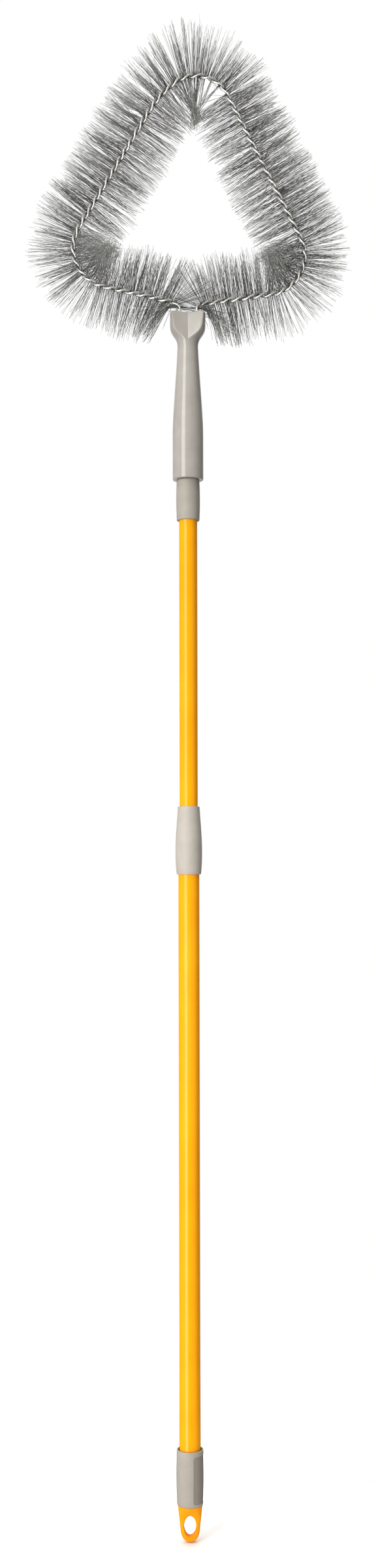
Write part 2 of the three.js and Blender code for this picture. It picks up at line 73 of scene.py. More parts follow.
GRIP_FOOT = 39.1
GRIP_TOP = 96.4
GRIP_BORE = 12.4
GRIP_FOOT_WALL = 1.1
GRIP_BELLY_WALL = 1.9
GRIP_MOUTH_WALL = 1.3
GRIP_EDGE = 0.6
GRIP_ROWS = 150
GRIP_SIDES = 192
PANEL_FOOT = 42.2
PANEL_HEIGHT = 48.9
PANEL_DEPTH = 0.35
PANEL_TURN = math.radians(-26)
PANEL_HALF_SPAN = math.radians(48)
PANEL_ROUNDING = 3.0
PANEL_SLOPE = 0.35  # half the width of its sloping border

LOWER_TUBE_RADIUS = 11.0
LOWER_TUBE_FOOT = 43.1
LOWER_TUBE_TOP = 746.4
UPPER_TUBE_RADIUS = 9.5
UPPER_TUBE_FOOT = 511.1
UPPER_TUBE_TOP = 1089.1
TUBE_WALL = 0.5

CLUTCH_FOOT = 692.4
CLUTCH_TOP = 762.8
CLUTCH_BELLY_HEIGHT = 25.0
CLUTCH_FOOT_WALL = 1.3
CLUTCH_BELLY_WALL = 2.5
CLUTCH_MOUTH_WALL = 1.5
CLUTCH_EDGE = 0.6
CLUTCH_SWELL_ROWS = 24
CLUTCH_TAPER_ROWS = 36

COLLAR_FOOT = 1059.4
COLLAR_TOP = 1101.1
COLLAR_WALL = 2.0
COLLAR_BELLY_WALL = 2.5
COLLAR_EDGE = 0.6
COLLAR_ROWS = 40
SPIGOT_FOOT = 1067.4
STUD_TOP = 1141.1
STUD_CORE_RADIUS = 9.3
STUD_ROWS = 150
THREAD_HEIGHT = 1.1
THREAD_PITCH = 4.6
THREAD_TURNS = 7
THREAD_SHARE = 0.55  # of the pitch, for the foot of the ridge
THREAD_CREST = 1.25  # steepness of the ridge, whose crest is cut off flat
THREAD_LEAD = 1.0  # the ridge rises from here before its start
THREAD_RUN_IN = 3.0  # to here after it, and so at its end

SOCKET_FOOT = 1101.4
SOCKET_TOP = 1274.8
SOCKET_BORE = 10.7
SOCKET_FOOT_RADIUS = 16.0
SOCKET_FOOT_EDGE = 1.2
SOCKET_STRAIGHT_TOP = 1149.4
SOCKET_BORE_TOP = 1147.4
SOCKET_CAVITY_TOP = 1232.4
SOCKET_NECK_RADIUS = 10.7
SOCKET_NECK_HEIGHT = 1239.4
SOCKET_NECK_WALL = 3.2
SOCKET_SIDES = 240
TAPER_ROWS = 50
TAPER_FOOT_PULL = 1 / 5  # of the taper's height, straight at its foot
TAPER_NECK_PULL = 1 / 3  # of its height, straight at the neck
TAPER_NECK_SWELL = 1 / 4  # of its narrowing, left there
FLARE_TOP = 1261.4
FLARE_RADIUS = 18.5
FLARE_EDGE = 0.8
FLARE_ROWS = 56
RIM_ROWS = 30
RIM_STEPS = ((0.3, 0.5), (FLARE_EDGE, FLARE_EDGE))  # inset and rise along the rounded rim
SCOOP_HALF_THICKNESS = 4.4
SCOOP_TILT = math.radians(13)
SCOOP_SLOPE = 0.23  # of the two faces that meet in the V
SCOOP_EDGE = 0.7
SCOOP_EASING = 0.35  # how far the skin gives way before the scoop's edge
SCOOP_REACH = 4.0  # edges away, where that ends
SCOOP_DEPTH = 10.0  # below the neck, where the scoop can start
SCOOP_LEAST = 0.1  # at the sides, which the scoop never meets
POCKET_RADIUS = 3.24
POCKET_DEPTH = 20.5
POCKET_SIDES = 32

WIRE_RADIUS = 1.1
WIRE_OFFSET = 1.743
WIRE_STEP = 0.9
WIRE_SIDES = 12
TWIST_PITCH = 23.4
RUN_STEP = 0.5
LEG_LENGTH = 20.0
LEG_HALF_SPACING = 9.5
LEG_BEND = 9.0
LEFT_BAR_RISE = 10.4
RIGHT_BAR_RISE = 8.9
LEFT_CORNER = (-142.5, 40.4)  # right of the pole and above the socket's top, as the next ones
RIGHT_CORNER = (143.5, 27.1)
CORNER_BEND = 41.0
LEFT_SHOULDER = (-32.0, 222.5)
SHOULDER_BEND = 100.0
APEX = (19.7, 269.0)
APEX_BEND = 37.0

# Real filaments are finer; they are drawn as thick as they need to be to show
FILAMENT_RADIUS = 0.155
FILAMENT_LENGTH = 45.5
FILAMENT_SPACING = 0.08
FILAMENT_SIDES = 3
FILAMENT_STEPS = 4
FILAMENT_BEND = 1.8  # of the tip to the side
FILAMENT_BEND_HEIGHT = 0.55  # as a share of the length
TIP_SHARE = 0.35  # of the thickness at the root
LONGEST_CUT = 1.06
SHORTEST_LOSS = 0.46
SHORT_RARITY = 1.5  # power that makes short ones rare
CROWN_GROWTH = 1.14  # over the top of the triangle they are cut longer
CROWN_HEIGHT = 13.0
BARE_END = 24.5  # of the run, at either leg
FLAT_SHARE = 0.78  # of the filaments lie pressed into the plane of the triangle
OWN_STRAY = 0.25  # radians about the wire
OWN_TILT = 0.05  # slope along the wire

# Clumps of neighbours that cling together
CLUMP_WIDTH = 3.8
CLUMP_GATHER = 0.09
CLUMP_UNEVENNESS = 6.25  # wave length along the wire
CLUMP_SWAY = 2.5  # clump widths
OTHER_SIDE = 4000.4  # clump widths between the counts of the wire's two sides
CLUMP_STRAY = 0.3
CLUMP_TILT = 0.05
CLUMP_SHADE = 0.3
CLUMP_CUT = 0.06
TUFT_GATHER = 0.05

# Crowding inside the two lower corners, by the distance from the corner
BAR_CROWDING = 86.0
ARM_CROWDING = 60.0
CROWDING_FADE = 16.0
CORNER_SPREAD = 0.15  # slope along the wire
CORNER_TURN = 1.0  # radians about it
# Painted light: how much paler the crowded corner filaments are drawn, against the shade they cast on each
# other
CORNER_PAINTED_LIGHT = 0.2

# Where filaments are missing, lean or are combed
BARE_SPOTS = (22.0, 30.0, 37.5)  # to the right of the pole
BARE_HALF_WIDTH = 2.9
UNDERSIDE_LOSS = 0.42
ARM_LOSS = 0.3
ARM_LEAN = 0.07
LEFT_COMB_SLOPE = 0.38
RIGHT_COMB_SLOPE = 0.26
COMB_REACH = 34.0
OUTER_COMB_REACH = 54.0

ROUND_SIDES = 96  # round a turned piece
EDGE_ROWS = 4  # along a small rounded edge
FLOOR_RADIUS = 270.0
FLOOR_GAP = 0.5  # below the loop's foot
AMBIENT_LIGHT = 0.1

# The photograph's camera: its place in metres, its shift as a share of the frame's height
CAMERA_PLACE = (-0.0009, -1.81, 0.6263)
CAMERA_ROLL = math.radians(0.12)
CAMERA_LENS = 40.05
CAMERA_SENSOR = 36
CAMERA_SHIFT = 136 / 2400

# Kinds of node that are used many times
MATH = "ShaderNodeMath"
VECTOR_MATH = "ShaderNodeVectorMath"
MAP_RANGE = "ShaderNodeMapRange"
NOISE = "ShaderNodeTexNoise"
RAMP = "ShaderNodeValToRGB"
MIX = "ShaderNodeMix"
SWITCH = "GeometryNodeSwitch"
COMPARE = "FunctionNodeCompare"
RANDOM = "FunctionNodeRandomValue"


def linear(hex_colour):
    """A colour of sRGB hex digits as linear red, green, blue and alpha."""
    parts = [int(hex_colour[i:i + 2], 16) / 255 for i in (1, 3, 5)]
    return [c / 12.92 if c <= 0.04045 else ((c + 0.055) / 1.055) ** 2.4 for c in parts] + [1.0]


def grey(level):
    """A linear grey of the given level."""
    return (level, level, level, 1.0)


def connect(node, inputs):
    """Sets a node's inputs; each takes a value, a socket or another node's first output."""
    for key, value in inputs.items():
        if isinstance(value, bpy.types.Node):
            value = value.outputs[0]
        if isinstance(value, bpy.types.NodeSocket):
            node.id_data.links.new(value, node.inputs[key])
        else:
            node.inputs[key].default_value = value


def add(tree, kind, inputs=None, ramp=None, **settings):
    """Adds a node with its settings and inputs, and with the (position, colour) stops of a colour ramp."""
    node = tree.nodes.new(kind)
    for key, value in settings.items():
        setattr(node, key, value)
    if ramp:
        stops = node.color_ramp.elements
        for position, colour in ramp[1:-1]:
            stops.new(position).color = colour
        for end in (0, -1):
            stops[end].position, stops[end].color = ramp[end]
    connect(node, inputs or {})
    return node


def new_material(name):
    """A plain material with its tree and its shader."""
    material = bpy.data.materials.new(name)
    material.use_nodes = True
    return material, material.node_tree, material.node_tree.nodes["Principled BSDF"]


def clouded(name, cloud, tones, roughness, relief=None, others=None):
    """A material whose tone drifts with a cloud of (size, detail), and so does a roughness of (low, high).

    A relief is (size, detail, strength, height). Sizes and heights are in millimetres.
    """
    material, tree, shader = new_material(name)
    place = add(tree, "ShaderNodeTexCoord").outputs["Object"]
    size, detail = cloud
    drift = add(tree, NOISE, {"Vector": place, "Scale": 1 / (size * MM), "Detail": detail})
    tone = add(tree, RAMP, {"Fac": drift}, ramp=[(at, linear(colour)) for at, colour in tones])
    if isinstance(roughness, tuple):
        low, high = roughness
        roughness = add(tree, MAP_RANGE, {"Value": drift, "To Min": low, "To Max": high})
    connect(shader, {"Base Color": tone, "Roughness": roughness, **(others or {})})
    if relief:
        size, detail, strength, height = relief
        waves = add(tree, NOISE, {"Vector": place, "Scale": 1 / (size * MM), "Detail": detail})
        bump = add(tree, "ShaderNodeBump", {"Height": waves, "Strength": strength, "Distance": height * MM})
        connect(shader, {"Normal": bump})
    return material


# Powder-coated steel tube: deep gloss yellow with the faint orange peel of the stoved paint
yellow_paint = clouded(
    "stoved_yellow_paint", cloud=(45, 3), tones=((0.3, "#faa003"), (0.7, "#fda905")),
    roughness=(0.16, 0.24), relief=(1.6, 2, 0.12, 0.05), others={"Specular IOR Level": 0.32},
)

# Moulded polypropylene loop: satin yellow-orange with faint flow marks and a fine mould grain,
# which is drawn at 0.7 mm so that it shows
satin_yellow = clouded(
    "satin_yellow_polypropylene", cloud=(9, 4), tones=((0.3, "#f49604"), (0.72, "#f89d07")),
    roughness=0.45, relief=(0.7, 2, 0.15, 0.06), others={"Specular IOR Level": 0.08},
)

# Polished-mould polypropylene socket: warm grey with a clear gloss and slight sink waves
gloss_taupe = clouded(
    "gloss_taupe_polypropylene", cloud=(16, 2), tones=((0.3, "#a39d95"), (0.7, "#aba69e")),
    roughness=(0.1, 0.15), relief=(16, 2, 0.08, 0.2),
)

# Bright drawn steel wire: a clear metal shine with the dull streaks of the drawing die,
# which are drawn at 2.2 mm so that they show
steel_wire = clouded(
    "drawn_steel_wire", cloud=(2.2, 5), tones=((0.3, "#dedad2"), (0.65, "#fbf9f4")),
    roughness=(0.2, 0.36), others={"Metallic": 0.55},
)

# Moulded acetal of the twist lock: milky white with a soft waxy gloss
acetal = clouded("white_acetal", cloud=(6, 3), tones=((0, "#d2d0c9"), (1, "#e2e1dc")), roughness=0.45)

# Zinc-plated steel of the lock's washer and screw: pale metal with a cloudy passivated bloom
zinc = clouded(
    "zinc_plated_steel", cloud=(3, 4), tones=((0, "#b4b3ae"), (1, "#d6d6d2")),
    roughness=(0.25, 0.45), others={"Metallic": 1.0},
)

# Seamless white paper under the brush, with the faint cloud of its fibres
paper_white = clouded("white_paper", cloud=(30, 2), tones=((0, "#f4f4f2"), (1, "#f8f8f6")), roughness=0.9)


# Spark-eroded mould grain on polypropylene: an even matt taupe; the panel's sunk floor is darker,
# and its sloping border is darkened further as painted shade, where the recess wall would be in shadow
def grained_taupe_polypropylene(name, dark, light, sunk):
    material, tree, shader = new_material(name)
    place = add(tree, "ShaderNodeTexCoord").outputs["Object"]
    panel = add(tree, "ShaderNodeAttribute", attribute_name="sunk").outputs["Fac"]
    cloud = add(tree, NOISE, {"Vector": place, "Scale": 1 / (14 * MM), "Detail": 4.0})
    # The real grain is about 0.2 mm; it is drawn at 0.8 mm so that it shows
    grain = add(tree, NOISE, {"Vector": place, "Scale": 1 / (0.8 * MM), "Detail": 2.0})
    tone = add(tree, RAMP, {"Fac": cloud}, ramp=((0.3, linear(dark)), (0.7, linear(light))))
    shade = add(tree, MIX, {0: panel, 6: tone, 7: linear(sunk)}, data_type="RGBA")
    # Painted shade: the border between the panel's floor and the sleeve is darkened to 0.62 of its tone
    rim = add(tree, RAMP, {"Fac": panel}, ramp=((0, grey(1)), (0.5, grey(0.62)), (1, grey(1))))
    rim_shaded = add(tree, MIX, {0: 1.0, 6: shade.outputs[2], 7: rim}, data_type="RGBA", blend_type="MULTIPLY")
    matt = add(tree, MAP_RANGE, {"Value": grain, "To Min": 0.5, "To Max": 0.68})
    bump = add(tree, "ShaderNodeBump", {"Height": grain, "Strength": 0.3, "Distance": 0.08 * MM})
    connect(shader, {"Base Color": rim_shaded.outputs[2], "Roughness": matt, "Normal": bump})
    return material


matt_taupe = grained_taupe_polypropylene("grained_taupe_polypropylene", "#aca499", "#b5aea4", "#9f968b")
dark_taupe = grained_taupe_polypropylene("grained_dark_taupe_polypropylene", "#9b9489", "#a39c92", "#878076")


# Extruded grey polyester filament: each one a little lighter or darker, with painted shade that darkens it at
# the wire and a paler cut tip, partly the thin tip's own look and partly painted light
def grey_polyester_filament():
    material, tree, shader = new_material("grey_polyester_filament")
    strand = add(tree, "ShaderNodeAttribute", attribute_name="shade").outputs["Fac"]
    along = add(tree, "ShaderNodeAttribute", attribute_name="along").outputs["Fac"]
    tone = add(tree, RAMP, {"Fac": strand}, ramp=((0, linear("#353530")), (1, linear("#a2a29c"))))
    # Painted shade at the root by the wire, and painted light towards the tip, up to 1.5 times the strand's
    # own tone
    root_shade_tip_light = add(tree, RAMP, {"Fac": along}, ramp=((0, grey(0.45)), (1, grey(1.5))))
    shade = add(tree, MIX, {0: 1.0, 6: tone, 7: root_shade_tip_light}, data_type="RGBA", blend_type="MULTIPLY")
    connect(shader, {"Base Color": shade.outputs[2], "Roughness": 0.3})
    return material


filament_grey = grey_polyester_filament()


def up(height):
    """A height above the loop's foot as a height in the frame, both in millimetres."""
    return height - HAND_HEIGHT


def placed(name, data):
    """An object of the scene with the given mesh, lamp or camera."""
    thing = bpy.data.objects.new(name, data)
    bpy.context.scene.collection.objects.link(thing)
    return thing


def solid(name, shape):
    """An object of the scene made of a closed bmesh, with its faces turned outwards."""
    bmesh.ops.recalc_face_normals(shape, faces=shape.faces)
    mesh = bpy.data.meshes.new(name)
    shape.to_mesh(mesh)
    shape.free()
    return placed(name, mesh)


def point_at(shape, x, y, height):
    """A new point of a bmesh, in millimetres and above the loop's foot."""
    return shape.verts.new((x * MM, y * MM, up(height) * MM))


def plain_mesh(piece):
    """The evaluated mesh of a piece, modifiers and instances included."""
    bpy.context.view_layer.update()
    graph = bpy.context.evaluated_depsgraph_get()
    return bpy.data.meshes.new_from_object(
        piece.evaluated_get(graph), preserve_all_data_layers=True, depsgraph=graph,
    )


def cut_out(blank, cutters):
    """A bmesh of a blank with the cutters taken out of it; their objects are removed."""
    for cutter in cutters:
        cut = blank.modifiers.new("cut", "BOOLEAN")
        cut.operation = "DIFFERENCE"
        cut.solver = "EXACT"
        cut.object = cutter
    shape = bmesh.new()
    shape.from_mesh(plain_mesh(blank))
    for piece in (blank, *cutters):
        bpy.data.objects.remove(piece)
    return shape


def seated(piece, body, node):
    """Sets a piece on its body in place of its CAD node."""
    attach(piece, body)
    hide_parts(node)


def finished(name, shape, material, body, node, crease=35):
    """Makes a piece of a bmesh, smooth but for edges sharper than the crease in degrees, and seats it."""
    piece = solid(name, shape)
    piece.data.shade_smooth()
    piece.data.set_sharp_from_angle(angle=math.radians(crease))
    piece.data.materials.append(material)
    seated(piece, body, node)


def bridge(shape, low, high):
    """Joins two rings of corners with faces; a ring may be a single point."""
    sides = max(len(low), len(high))
    for i in range(sides):
        j = (i + 1) % sides
        corners = (low[i % len(low)], low[j % len(low)], high[j % len(high)], high[i % len(high)])
        shape.faces.new(list(dict.fromkeys(corners)))


def skin(shape, rings):
    """Joins rings of equal count and closes the first and the last."""
    for low, high in zip(rings, rings[1:]):
        bridge(shape, low, high)
    shape.faces.new(list(reversed(rings[0])))
    shape.faces.new(rings[-1])


def lathe(shape, profile, sides=ROUND_SIDES, reshape=None, closed=True):
    """Turns a profile of (radius, height) about the pole axis; reshape may alter each radius by its angle."""
    rings = []
    for radius, height in profile:
        ring = []
        for i in range(sides if radius else 1):
            angle = 2 * math.pi * i / sides
            reach = reshape(radius, angle, height) if reshape else radius
            ring.append(point_at(shape, reach * math.cos(angle), reach * math.sin(angle), height))
        rings.append(ring)
    if closed:
        rings.append(rings[0])
    for low, high in zip(rings, rings[1:]):
        bridge(shape, low, high)
    return shape


def bezier(points, count):
    """Points along a Bezier curve of two to four control points."""
    degree = len(points) - 1
    made = []
    for i in range(count + 1):
        t = i / count
        weights = [math.comb(degree, k) * t ** k * (1 - t) ** (degree - k) for k in range(degree + 1)]
        made.append(tuple(sum(w * p[axis] for w, p in zip(weights, points)) for axis in range(2)))
    return made


def edged(side, edge):
    """The profile of a side with a small rounded edge added at its foot and at its top."""
    (low, foot), (high, top) = side[0], side[-1]
    lower = bezier([(low - edge, foot - edge), (low, foot - edge), side[0]], EDGE_ROWS)
    upper = bezier([side[-1], (high, top + edge), (high - edge, top + edge)], EDGE_ROWS)
    return lower[:-1] + side + upper[1:]


def smooth_step(low, high, value):
    share = min(1, max(0, (value - low) / (high - low)))
    return share * share * (3 - 2 * share)


# Pole tubes: thin steel with rolled ends
def tube(node, radius, foot, top, body):
    inner = radius - TUBE_WALL
    edge = TUBE_WALL / 3
    profile = [
        (inner, foot), (radius - edge, foot), (radius, foot + edge),
        (radius, top - edge), (radius - edge, top), (inner, top),
    ]
    finished("painted_" + node, lathe(bmesh.new(), profile), yellow_paint, body, node)


# End grip: a barrel sleeve with a bare panel sunk into its right side
def panel_share(angle, height):
    """1 on the floor of the sunk panel, 0 outside it, with a short slope at its rounded border."""
    radius = GRIP_BORE + GRIP_BELLY_WALL
    turn = (angle - PANEL_TURN + math.pi) % (2 * math.pi) - math.pi
    across = abs(turn) * radius - PANEL_HALF_SPAN * radius + PANEL_ROUNDING
    rise = abs(height - PANEL_FOOT - PANEL_HEIGHT / 2) - PANEL_HEIGHT / 2 + PANEL_ROUNDING
    outside = math.hypot(max(across, 0), max(rise, 0)) + min(max(across, rise), 0) - PANEL_ROUNDING
    return 1 - smooth_step(-PANEL_SLOPE, PANEL_SLOPE, outside)


def end_grip():
    middle = (GRIP_FOOT + GRIP_TOP) / 2
    foot = GRIP_BORE + GRIP_FOOT_WALL
    mouth = GRIP_BORE + GRIP_MOUTH_WALL
    belly = GRIP_BORE + GRIP_BELLY_WALL
    control = 2 * belly - (foot + mouth) / 2
    barrel = bezier([
        (foot, GRIP_FOOT + GRIP_EDGE), (control, middle), (mouth, GRIP_TOP - GRIP_EDGE),
    ], GRIP_ROWS)
    profile = [(GRIP_BORE, GRIP_FOOT)] + edged(barrel, GRIP_EDGE) + [(GRIP_BORE, GRIP_TOP)]

    def sunk(radius, angle, height):
        depth = PANEL_DEPTH * panel_share(angle, height) if radius > GRIP_BORE else 0
        return radius - depth

    shape = lathe(bmesh.new(), profile, GRIP_SIDES, sunk)
    floor = shape.verts.layers.float.new("sunk")
    for vert in shape.verts:
        x, y, z = vert.co / MM
        if math.hypot(x, y) > GRIP_BORE + GRIP_EDGE:
            vert[floor] = panel_share(math.atan2(y, x), z + HAND_HEIGHT)
    finished("end_grip_sleeve", shape, dark_taupe, "lower_pole", "end_grip", crease=40)


# Hanging loop: a tapered tab with a rounded oval hole, swelling to the round shoulder below the grip
def tab_section(share):
    """Half width, half thickness, squareness and height of the tab, from its foot, 0, to the shoulder, 1."""
    if share < LOOP_FOOT_SHARE:
        turn = share / LOOP_FOOT_SHARE * math.pi / 2
        height = LOOP_ROUND_HEIGHT * (1 - math.cos(turn))
        width = LOOP_HALF_WIDTH * math.sin(turn)
        thick = LOOP_HALF_THICKNESS * math.sin(turn) ** LOOP_FOOT_FULLNESS
    else:
        rise = (share - LOOP_FOOT_SHARE) / (1 - LOOP_FOOT_SHARE)
        height = LOOP_ROUND_HEIGHT + (LOOP_HEIGHT - LOOP_ROUND_HEIGHT) * rise
        width = LOOP_HALF_WIDTH + (LOOP_SHOULDER_RADIUS - LOOP_HALF_WIDTH) * rise
        swell = smooth_step(LOOP_FLAT_HEIGHT, LOOP_HEIGHT + LOOP_SWELL_EASE, height) * LOOP_SWELL
        thick = min(width, LOOP_HALF_THICKNESS + (LOOP_SHOULDER_RADIUS - LOOP_HALF_THICKNESS) * swell)
    rounding = smooth_step(LOOP_FLAT_HEIGHT, LOOP_HEIGHT - LOOP_SWELL_EASE, height)
    square = LOOP_SQUARENESS - (LOOP_SQUARENESS - ROUND_SQUARENESS) * rounding
    return width, thick, square, height


def loop_tab():
    tab = bmesh.new()
    rings = []
    for i in range(LOOP_ROWS + 1):
        width, thick, square, height = tab_section(LOOP_FIRST_ROW + (1 - LOOP_FIRST_ROW) * i / LOOP_ROWS)
        ring = []
        for k in range(ROUND_SIDES):
            angle = 2 * math.pi * k / ROUND_SIDES
            x = math.copysign(abs(math.cos(angle)) ** (2 / square), math.cos(angle)) * width
            y = math.copysign(abs(math.sin(angle)) ** (2 / square), math.sin(angle)) * thick
            ring.append(point_at(tab, x, y, height))
        rings.append(ring)
    skin(tab, rings)
    return solid("loop_tab", tab)


def loop_hole():
    """The hole as a solid to cut with: it widens in a round lip at the tab's front and back."""
    hole = bmesh.new()
    rings = []
    lip_turns = [math.pi / 2 * i / HOLE_LIP_ROWS for i in range(HOLE_LIP_ROWS)]
    lip = [LOOP_HALF_THICKNESS - HOLE_ROUNDING * (1 - math.sin(turn)) for turn in lip_turns]
    depths = [0, lip[0] / 2] + lip + [LOOP_HALF_THICKNESS + CUT_MARGIN, LOOP_SHOULDER_RADIUS + CUT_MARGIN]
    for depth in [-d for d in reversed(depths[1:])] + depths:
        over = max(0, abs(depth) - LOOP_HALF_THICKNESS + HOLE_ROUNDING)
        rounded = min(over, HOLE_ROUNDING)
        flare = HOLE_ROUNDING - math.sqrt(HOLE_ROUNDING ** 2 - rounded ** 2) + HOLE_FLARE * (over - rounded)
        ring = []
        for k in range(HOLE_SIDES):
            angle = 2 * math.pi * k / HOLE_SIDES
            x = (HOLE_HALF_WIDTH + flare) * math.cos(angle)
            z = HOLE_HEIGHT + (HOLE_HALF_HEIGHT + flare) * math.sin(angle)
            ring.append(point_at(hole, x, depth, z))
        rings.append(ring)
    skin(hole, rings)
    return solid("loop_hole", hole)


def hang_loop():
    shape = cut_out(loop_tab(), [loop_hole()])
    cup = [
        (0, LOOP_HEIGHT), (CUP_RADIUS, LOOP_HEIGHT), (CUP_RADIUS, CUP_TOP),
        (CUP_RADIUS - CUP_WALL, CUP_TOP), (CUP_RADIUS - CUP_WALL, CUP_FLOOR), (0, CUP_FLOOR),
    ]
    lathe(shape, cup, CUP_SIDES, closed=False)
    finished("hanging_loop", shape, satin_yellow, "lower_pole", "hang_loop", crease=50)


# Clutch sleeve at the lower tube's mouth
def clutch_sleeve():
    seat = LOWER_TUBE_RADIUS + SEAT_GAP
    lip = UPPER_TUBE_RADIUS + SEAT_GAP
    belly = (seat + CLUTCH_BELLY_WALL, CLUTCH_FOOT + CLUTCH_BELLY_HEIGHT)
    foot = (seat + CLUTCH_FOOT_WALL, CLUTCH_FOOT + CLUTCH_EDGE)
    mouth = (lip + CLUTCH_MOUTH_WALL, CLUTCH_TOP - CLUTCH_EDGE)
    rise = (mouth[1] - belly[1]) / 3
    swell = bezier([foot, (belly[0], CLUTCH_FOOT + CLUTCH_BELLY_HEIGHT / 3), belly], CLUTCH_SWELL_ROWS)
    taper = bezier([
        belly, (belly[0], belly[1] + rise), ((belly[0] + 2 * mouth[0]) / 3, mouth[1] - rise), mouth,
    ], CLUTCH_TAPER_ROWS)
    profile = [(seat, CLUTCH_FOOT)] + edged(swell + taper[1:], CLUTCH_EDGE)
    profile += [(lip, CLUTCH_TOP), (lip, LOWER_TUBE_TOP + SEAT_GAP), (seat, LOWER_TUBE_TOP + SEAT_GAP)]
    shape = lathe(bmesh.new(), profile)
    finished("clutch_barrel", shape, matt_taupe, "lower_pole", "clutch_sleeve")


# Collar on the upper tube, with the threaded stud that the brush head screws on
def threaded_tip():
    bore = UPPER_TUBE_RADIUS + SEAT_GAP
    spigot = UPPER_TUBE_RADIUS - TUBE_WALL - SEAT_GAP
    seat = UPPER_TUBE_TOP + SEAT_GAP
    edge = bore + COLLAR_WALL
    middle = (COLLAR_FOOT + COLLAR_TOP) / 2
    barrel = bezier([
        (edge, COLLAR_FOOT + COLLAR_EDGE),
        (bore + 2 * COLLAR_BELLY_WALL - COLLAR_WALL, middle),
        (edge, COLLAR_TOP - COLLAR_EDGE),
    ], COLLAR_ROWS)
    stud = STUD_TOP - THREAD_HEIGHT - COLLAR_TOP
    profile = [(0, SPIGOT_FOOT), (spigot, SPIGOT_FOOT), (spigot, seat), (bore, seat), (bore, COLLAR_FOOT)]
    profile += edged(barrel, COLLAR_EDGE)
    profile += [(STUD_CORE_RADIUS, COLLAR_TOP + stud * i / STUD_ROWS) for i in range(STUD_ROWS + 1)]
    profile += [(STUD_CORE_RADIUS - THREAD_HEIGHT, STUD_TOP), (0, STUD_TOP)]
    thread_foot = COLLAR_TOP + (STUD_TOP - COLLAR_TOP - THREAD_PITCH * THREAD_TURNS) / 2
    thread_top = thread_foot + THREAD_PITCH * THREAD_TURNS

    def threaded(radius, angle, height):
        if radius != STUD_CORE_RADIUS or height <= COLLAR_TOP:
            return radius
        phase = (height - thread_foot) / THREAD_PITCH - angle / (2 * math.pi)
        ridge = max(0, 1 - abs(2 * (phase % 1) - 1) / THREAD_SHARE)
        start = smooth_step(thread_foot - THREAD_LEAD, thread_foot + THREAD_RUN_IN, height)
        end = smooth_step(thread_top + THREAD_LEAD, thread_top - THREAD_RUN_IN, height)
        return radius + THREAD_HEIGHT * min(1, THREAD_CREST * ridge) * start * end

    shape = lathe(bmesh.new(), profile, reshape=threaded, closed=False)
    finished("collar_and_stud", shape, dark_taupe, "upper_pole", "threaded_tip")


# Brush socket: a tapered moulding whose flared top is scooped out to a V on the front and the back
def scooped(radius, angle, height):
    if height < SOCKET_NECK_HEIGHT - SCOOP_DEPTH or radius <= SOCKET_NECK_RADIUS - SOCKET_NECK_WALL:
        return radius
    across, depth = abs(math.cos(angle)), abs(math.sin(angle))
    thick = SCOOP_HALF_THICKNESS + (SOCKET_TOP - height) * math.tan(SCOOP_TILT)
    gap = (thick / max(depth - SCOOP_SLOPE * across, SCOOP_LEAST) - radius) / SCOOP_EDGE
    if gap > SCOOP_REACH:
        return radius
    return radius + SCOOP_EDGE * (min(gap, 0) - SCOOP_EASING * math.exp(-abs(gap)))


def socket_blank():
    """The socket without its wire pockets."""
    neck = (SOCKET_NECK_RADIUS, SOCKET_NECK_HEIGHT)
    straight = (SOCKET_FOOT_RADIUS, SOCKET_STRAIGHT_TOP)
    foot_edge = bezier([
        (SOCKET_FOOT_RADIUS - SOCKET_FOOT_EDGE, SOCKET_FOOT), (SOCKET_FOOT_RADIUS, SOCKET_FOOT),
        (SOCKET_FOOT_RADIUS, SOCKET_FOOT + SOCKET_FOOT_EDGE),
    ], EDGE_ROWS)
    rim_foot = SOCKET_TOP - FLARE_EDGE
    rise = neck[1] - straight[1]
    taper = bezier([
        straight,
        (SOCKET_FOOT_RADIUS, straight[1] + rise * TAPER_FOOT_PULL),
        (neck[0] + (SOCKET_FOOT_RADIUS - neck[0]) * TAPER_NECK_SWELL, neck[1] - rise * TAPER_NECK_PULL),
        neck,
    ], TAPER_ROWS)
    half = (FLARE_TOP - neck[1]) / 2
    flare = bezier([
        neck, (neck[0], neck[1] + half), (FLARE_RADIUS, FLARE_TOP - half), (FLARE_RADIUS, FLARE_TOP),
    ], FLARE_ROWS)
    profile = [
        (0, SOCKET_CAVITY_TOP), (SOCKET_NECK_RADIUS - SOCKET_NECK_WALL, SOCKET_CAVITY_TOP),
        (SOCKET_BORE, SOCKET_BORE_TOP), (SOCKET_BORE, SOCKET_FOOT),
    ]
    profile += foot_edge + taper + flare[1:]
    rim_rise = rim_foot - FLARE_TOP
    profile += [(FLARE_RADIUS, FLARE_TOP + rim_rise * i / RIM_ROWS) for i in range(1, RIM_ROWS + 1)]
    shape = lathe(bmesh.new(), profile, SOCKET_SIDES, scooped, closed=False)
    rim = list(shape.verts)[-SOCKET_SIDES:]
    below = rim
    for inset, rise in RIM_STEPS:
        ring = []
        for vert in rim:
            flat = Vector((vert.co.x, vert.co.y, 0))
            pulled = flat * (1 - inset * MM / flat.length)
            ring.append(shape.verts.new((pulled.x, pulled.y, up(rim_foot + rise) * MM)))
        bridge(shape, below, ring)
        below = ring
    shape.faces.new(below)
    return solid("socket_blank", shape)


def pocket_drill(side):
    drill = bmesh.new()
    bmesh.ops.create_cone(
        drill, cap_ends=True, segments=POCKET_SIDES, radius1=POCKET_RADIUS * MM, radius2=POCKET_RADIUS * MM,
        depth=2 * POCKET_DEPTH * MM,
    )
    bmesh.ops.translate(drill, verts=drill.verts, vec=(side * LEG_HALF_SPACING * MM, 0, up(SOCKET_TOP) * MM))
    return solid("pocket_drill", drill)


def brush_socket():
    shape = cut_out(socket_blank(), [pocket_drill(-1), pocket_drill(1)])
    finished(
        "socket_moulding", shape, gloss_taupe, "brush_head", "brush_socket", crease=45,
    )


